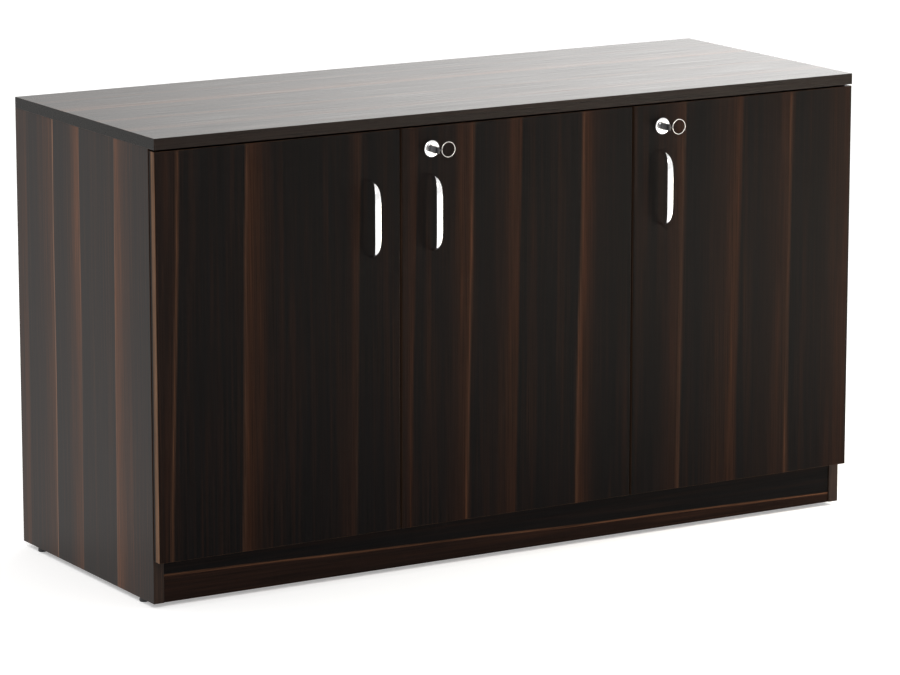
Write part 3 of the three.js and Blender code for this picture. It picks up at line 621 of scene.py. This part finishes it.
def bow_handle(low, high, middle):
    half_span = (high.z - low.z - HANDLE_THICKNESS) / 2
    reach = high.y - low.y - HANDLE_THICKNESS / 2
    full_width = HANDLE_SLIMNESS * (high.x - low.x)

    def bend(share):
        """From 0 in the middle of the strap to 1 at both feet."""
        return math.sin(math.pi / 2 * share) ** HANDLE_SQUARENESS

    def arch(share):
        rise = reach * math.sqrt(max(0.0, 1 - bend(share)))
        along = half_span * math.sin(math.pi / 2 * share)
        return Vector((middle.x, high.y - rise, middle.z + along))

    rings = []
    step = 1 / HANDLE_STEPS
    for i in range(HANDLE_STEPS + 1):
        share = 2 * i / HANDLE_STEPS - 1
        run = arch(min(1.0, share + step)) - arch(max(-1.0, share - step))
        if i in (0, HANDLE_STEPS):
            run.z = 0.0
        run.normalize()
        out = Vector((0.0, -run.z, run.y))
        fullness = (high.y - arch(share).y) / reach
        tapered = full_width * (1 - HANDLE_TAPER * bend(share))
        wide = HANDLE_END_WIDTH + (tapered - HANDLE_END_WIDTH) * fullness
        deep = HANDLE_END_THICKNESS + (HANDLE_THICKNESS - HANDLE_END_THICKNESS) * fullness
        section = rounded_section(wide, deep, HANDLE_SIDES, HANDLE_ROUNDNESS)
        rings.append([arch(share) + Vector((x, 0.0, 0.0)) + out * y for x, y in section])
    return loft(rings)


def add_handle(door):
    handle = bow_handle(*corners_of(f"{door}_handle"))
    make_piece(f"{door}_bow_handle", handle, f"{door}_leaf", "chrome", [f"{door}_handle"])


# Screws: low domed heads with a cross recess, as shares of a radius and a height
SCREW_SIDES = 24
SCREW_DOME = [(1.0, 0.0), (1.0, 0.35), (0.90, 0.70), (0.77, 0.92), (0.62, 1.0)]
CROSS_ARM = 0.52
CROSS_HALF_WIDTH = 0.13
CROSS_TAPER = 0.8
CROSS_FLOOR = 0.35

# Screws: radius and height of the heads
EAR_SCREW = (3.4 * MM, 1.4 * MM)
WING_SCREW = (3.3 * MM, 1.3 * MM)
ARM_SCREW = (3.0 * MM, 1.2 * MM)
GUIDE_SCREW = (2.7 * MM, 1.1 * MM)
CAM_SCREW = (5.0 * MM, 1.8 * MM)
STRIKE_SCREW = (3.0 * MM, 1.2 * MM)

# Screws: the side of each door's hinges on which its opening lies, and places on the pieces they hold
OPENING_SIDE = {"left_door": 1, "middle_door": -1, "right_door": -1}
EAR_INSET = 24 * MM
EAR_PITCH = 46 * MM
WING_PITCH = 32 * MM
WING_SHEET = 1.5 * MM
ARM_SCREWS_Y = (-0.168, -0.183)
GUIDE_SHEET = 1.6 * MM
GUIDE_SCREW_ASIDE = 10.6 * MM
GUIDE_SCREW_RISE = 14 * MM
STRIKE_SHEET = 2 * MM
STRIKE_SCREW_ASIDE = 9 * MM
STRIKE_SCREW_INSET = 8 * MM


def cross_screw(radius, height):
    """A screw head about Z, with a cross cut into its top."""
    points, faces = lathe([(radius * wide, height * tall) for wide, tall in SCREW_DOME], SCREW_SIDES)
    rim = list(range(len(points) - SCREW_SIDES, len(points)))
    arm, half = CROSS_ARM * radius, CROSS_HALF_WIDTH * radius
    outline = []
    for turn in range(4):
        c, s = math.cos(turn * math.pi / 2), math.sin(turn * math.pi / 2)
        outline += [(x * c - y * s, x * s + y * c) for x, y in [(arm, -half), (arm, half), (half, half)]]
    count = len(outline)
    upper = list(range(len(points), len(points) + count))
    points += [Vector((x, y, height)) for x, y in outline]
    lower = list(range(len(points), len(points) + count))
    points += [Vector((CROSS_TAPER * x, CROSS_TAPER * y, CROSS_FLOOR * height)) for x, y in outline]
    index = rim + upper
    rings = [[points[i] for i in rim], [points[i] for i in upper]]
    faces += [[index[i] for i in triangle] for triangle in tessellate_polygon(rings)]
    for i in range(count):
        j = (i + 1) % count
        faces.append([upper[i], upper[j], lower[j], lower[i]])
    faces.append(lower)
    faces.append(list(range(SCREW_SIDES)))
    return points, faces


def add_screws(name, body, size, outward, places):
    head = cross_screw(*size)
    make_piece(name, joined(*(placed(head, place, outward) for place in places)), body, "hinge_steel")


def add_hinge_screws(door, hinge):
    """Screws in the ears of a cup, in the wings of a plate and in an arm."""
    inward = OPENING_SIDE[door]
    low, high, middle = corners_of(f"{hinge}_cup")
    ear_x = low.x + EAR_INSET if inward > 0 else high.x - EAR_INSET
    ears = [(ear_x, high.y, middle.z + side * EAR_PITCH / 2) for side in (-1, 1)]
    add_screws(f"{hinge}_cup_screws", f"{door}_leaf", EAR_SCREW, (0, 1, 0), ears)
    low, high, middle = corners_of(f"{hinge}_plate")
    wing_x = low.x + WING_SHEET if inward > 0 else high.x - WING_SHEET
    wings = [(wing_x, middle.y, middle.z + side * WING_PITCH / 2) for side in (-1, 1)]
    add_screws(f"{hinge}_plate_screws", "carcass", WING_SCREW, (inward, 0, 0), wings)
    low, high, middle = corners_of(f"{hinge}_arm")
    arm_x = high.x if inward > 0 else low.x
    arms = [(arm_x, y, middle.z) for y in ARM_SCREWS_Y]
    add_screws(f"{hinge}_arm_screws", "carcass", ARM_SCREW, (inward, 0, 0), arms)


def add_guide_screws():
    low, high, middle = corners_of("tower_bolt_guide")
    places = [
        (middle.x + side * GUIDE_SCREW_ASIDE, low.y + GUIDE_SHEET, middle.z + rise * GUIDE_SCREW_RISE)
        for side in (-1, 1) for rise in (-1, 1)
    ]
    add_screws("tower_bolt_guide_screws", "left_door_leaf", GUIDE_SCREW, (0, 1, 0), places)


# Cam locks: turned rosette with a fine groove, and its threaded barrel
ROSETTE_SIDES = 72
ROSETTE_RADIUS = 14 * MM
ROSETTE_HEIGHT = 4.3 * MM
ROSETTE_EDGE = 2.6 * MM
ROSETTE_EDGE_STEPS = 12
ROSETTE_BORE = 6.7 * MM
ROSETTE_CHAMFER = 0.5 * MM
ROSETTE_GROOVE = [(8.6 * MM, 0.0), (8.9 * MM, 0.3 * MM), (9.4 * MM, 0.3 * MM), (9.7 * MM, 0.0)]
BARREL_RADIUS = 9.5 * MM
THREAD_PITCH = 1.5 * MM
THREAD_DEPTH = 0.45 * MM

# Cam locks: wire ring of the key, and the eye and tab that carry it
RING_RADIUS = 12.1 * MM
RING_WIRE = 0.8 * MM
RING_TURNS = 72
RING_SIDES = 14
RING_INSET = 13 * MM
EYE_SIDES = 32
EYE_RADIUS = 2.4 * MM
EYE_BORE = 1.2 * MM
EYE_HEIGHT = 4 * MM
EYE_CHAMFER = 0.4 * MM
TAB_THICKNESS = 1.5 * MM
TAB_START = 0.8 * EYE_RADIUS
TAB_HEIGHT = 0.95 * EYE_HEIGHT
TAB_WAIST = 0.25
TAB_STEPS = 10
TAB_SIDES = 20
TAB_ROUNDNESS = 3.5


def lock_housing(length):
    """Along Z: the rosette's face at 0, the barrel's tail at its length."""
    profile = [(ROSETTE_BORE, ROSETTE_CHAMFER), (ROSETTE_BORE + ROSETTE_CHAMFER, 0.0)]
    profile += ROSETTE_GROOVE
    for i in range(ROSETTE_EDGE_STEPS + 1):
        angle = math.pi / 2 * i / ROSETTE_EDGE_STEPS
        inset = ROSETTE_EDGE * (1 - math.sin(angle))
        profile.append((ROSETTE_RADIUS - inset, ROSETTE_EDGE * (1 - math.cos(angle))))
    profile += [(ROSETTE_RADIUS, ROSETTE_HEIGHT), (BARREL_RADIUS, ROSETTE_HEIGHT)]
    height = ROSETTE_HEIGHT + THREAD_PITCH
    while height < length - THREAD_PITCH:
        profile.append((BARREL_RADIUS, height))
        profile.append((BARREL_RADIUS - THREAD_DEPTH, height + THREAD_PITCH / 2))
        height += THREAD_PITCH
    profile += [(BARREL_RADIUS - THREAD_DEPTH, length), (ROSETTE_BORE, length), profile[0]]
    return lathe(profile, ROSETTE_SIDES)


def key_ring(centre):
    """A round wire ring in the XZ plane."""
    angles = [2 * math.pi * i / RING_SIDES for i in range(RING_SIDES + 1)]
    profile = [(RING_RADIUS + RING_WIRE * math.cos(a), RING_WIRE * math.sin(a)) for a in angles]
    return placed(lathe(profile, RING_TURNS), centre, (0, -1, 0))


def key_eye(pin, reach):
    """The eye on the fold pin, with a waisted tab that reaches to the ring."""
    half = EYE_HEIGHT / 2
    profile = [
        (EYE_BORE, -half), (EYE_RADIUS - EYE_CHAMFER, -half), (EYE_RADIUS, EYE_CHAMFER - half),
        (EYE_RADIUS, half - EYE_CHAMFER), (EYE_RADIUS - EYE_CHAMFER, half), (EYE_BORE, half),
        (EYE_BORE, -half),
    ]
    eye = placed(lathe(profile, EYE_SIDES), pin, (0, 0, 1))
    rings = []
    for i in range(TAB_STEPS + 1):
        share = i / TAB_STEPS
        x = TAB_START + (reach - TAB_START) * share
        tall = TAB_HEIGHT * (1 - TAB_WAIST * math.sin(math.pi * share))
        section = rounded_section(tall, TAB_THICKNESS, TAB_SIDES, TAB_ROUNDNESS)
        rings.append([Vector(pin) + Vector((x, y, z)) for z, y in section])
    return joined(eye, loft(rings))


def add_lock(door):
    lock = f"{door}_lock"
    low, high, middle = corners_of(f"{lock}_housing")
    housing = placed(lock_housing(high.y - low.y), (middle.x, low.y, middle.z), (0, 1, 0))
    make_piece(f"{lock}_rosette", housing, f"{door}_leaf", "chrome", [f"{lock}_housing"])
    low, high, middle = corners_of(f"{lock}_plug")
    add_screws(f"{lock}_cam_screw", lock, CAM_SCREW, (0, 1, 0), [(middle.x, high.y, middle.z)])
    pin_x = middle.x
    low, high, middle = corners_of(f"{lock}_key_ring")
    ring_x = high.x - RING_INSET
    ring = key_ring((ring_x, middle.y, middle.z))
    make_piece(f"{lock}_ring", ring, f"{door}_key_ring", "chrome", [f"{lock}_key_ring"], KEY_STEEL)
    eye = key_eye((pin_x, middle.y, middle.z), ring_x - RING_RADIUS - pin_x)
    make_piece(f"{lock}_ring_eye", eye, f"{door}_key_ring", "black_plastic", [f"{lock}_key_ring"])
    low, high, middle = corners_of(f"{lock}_strike")
    screw_y, screw_z = high.y - STRIKE_SCREW_INSET, high.z - STRIKE_SHEET
    places = [(middle.x + side * STRIKE_SCREW_ASIDE, screw_y, screw_z) for side in (-1, 1)]
    add_screws(f"{lock}_strike_screws", "carcass", STRIKE_SCREW, (0, 0, -1), places)


# Studio

def seen_rays(tree):
    """1 for rays that the camera, a mirror or glass sees, 0 for rays that light the object."""
    rays = node(tree, "ShaderNodeLightPath").outputs
    mirrored = calc(tree, "MAXIMUM", rays["Is Glossy Ray"], rays["Is Transmission Ray"])
    return calc(tree, "MAXIMUM", rays["Is Camera Ray"], mirrored)


def add_floor():
    bpy.ops.mesh.primitive_plane_add(size=FLOOR_SIZE, location=(0.0, 0.0, LOW.z))
    floor = bpy.context.object
    floor.name = "studio_floor"
    material = bpy.data.materials.new("studio_floor")
    material.use_nodes = True
    tree = material.node_tree
    tree.nodes.clear()
    matt = node(tree, "ShaderNodeBsdfDiffuse", {"Color": (*FLOOR_COLOUR, 1.0)}).outputs["BSDF"]
    place = node(tree, "ShaderNodeTexCoord").outputs["Object"]
    away = node(tree, "ShaderNodeVectorMath", {0: place}, operation="LENGTH").outputs["Value"]
    strength = spread(tree, away, FLOOR_GLOW_REACH, FLOOR_GLOW, smooth=True)
    level = calc(tree, "MULTIPLY", seen_rays(tree), strength)
    glow = node(tree, "ShaderNodeEmission", {"Strength": level}).outputs["Emission"]
    both = node(tree, "ShaderNodeAddShader", {0: matt, 1: glow}).outputs["Shader"]
    node(tree, "ShaderNodeOutputMaterial", {"Surface": both})
    floor.data.materials.append(material)


def add_sky():
    """An even sky, white for seen rays, with a broad soft window behind the object."""
    world = bpy.data.worlds.new("studio")
    bpy.context.scene.world = world
    world.use_nodes = True
    tree = world.node_tree
    tree.nodes.clear()
    azimuth, elevation = math.radians(WINDOW_AZIMUTH), math.radians(WINDOW_ELEVATION)
    level_run, rise = math.cos(elevation), math.sin(elevation)
    towards = (math.sin(azimuth) * level_run, math.cos(azimuth) * level_run, rise)
    alike = dot(tree, node(tree, "ShaderNodeTexCoord").outputs["Generated"], towards)
    limits = (math.cos(math.radians(WINDOW_OUTER_ANGLE)), math.cos(math.radians(WINDOW_INNER_ANGLE)))
    strengths = (SKY_STRENGTH, SKY_STRENGTH + WINDOW_STRENGTH)
    light = spread(tree, alike, limits, strengths, smooth=True)
    white = calc(tree, "MULTIPLY", seen_rays(tree), 1.0 - SKY_STRENGTH)
    level = calc(tree, "ADD", light, white)
    sky = node(tree, "ShaderNodeBackground", {"Color": SKY_COLOUR, "Strength": level})
    node(tree, "ShaderNodeOutputWorld", {"Surface": sky.outputs["Background"]})


def add_lamp(name, place, aim, size, power, colour=(1.0, 1.0, 1.0), spread_angle=180.0):
    data = bpy.data.lights.new(name, "AREA")
    data.size = size
    data.energy = power
    data.color = colour
    data.spread = math.radians(spread_angle)
    lamp = bpy.data.objects.new(name, data)
    bpy.context.scene.collection.objects.link(lamp)
    lamp.location = place
    lamp.rotation_euler = (Vector(aim) - lamp.location).to_track_quat("-Z", "Y").to_euler()
    lamp.visible_camera = False


def add_camera():
    data = bpy.data.cameras.new("camera")
    data.sensor_width = SENSOR_WIDTH_MM
    data.lens = CAMERA_FOCAL_PIXELS / IMAGE_WIDTH_PIXELS * SENSOR_WIDTH_MM
    data.clip_end = 2 * FLOOR_SIZE
    camera = bpy.data.objects.new("camera", data)
    bpy.context.scene.collection.objects.link(camera)
    camera.location = CAMERA_PLACE
    camera.rotation_euler = (math.radians(90.0 - CAMERA_PITCH), 0.0, math.radians(-CAMERA_YAW))
    bpy.context.scene.camera = camera


# The object
dress_frame()
for door in DOORS:
    add_handle(door)
for door in DOORS:
    for end in ("lower", "upper"):
        add_hinge_screws(door, f"{door}_{end}_hinge")
add_guide_screws()
for door in LOCKED_DOORS:
    add_lock(door)

# The studio
add_floor()
add_sky()
add_lamp("key_light", KEY_PLACE, KEY_AIM, KEY_SIZE, KEY_POWER)
POOL_AIM = (*POOL_PLACE[:2], 0.0)
add_lamp("floor_light", POOL_PLACE, POOL_AIM, POOL_SIZE, POOL_POWER, POOL_COLOUR, POOL_SPREAD)
add_camera()
bpy.context.scene.view_settings.view_transform = "Standard"
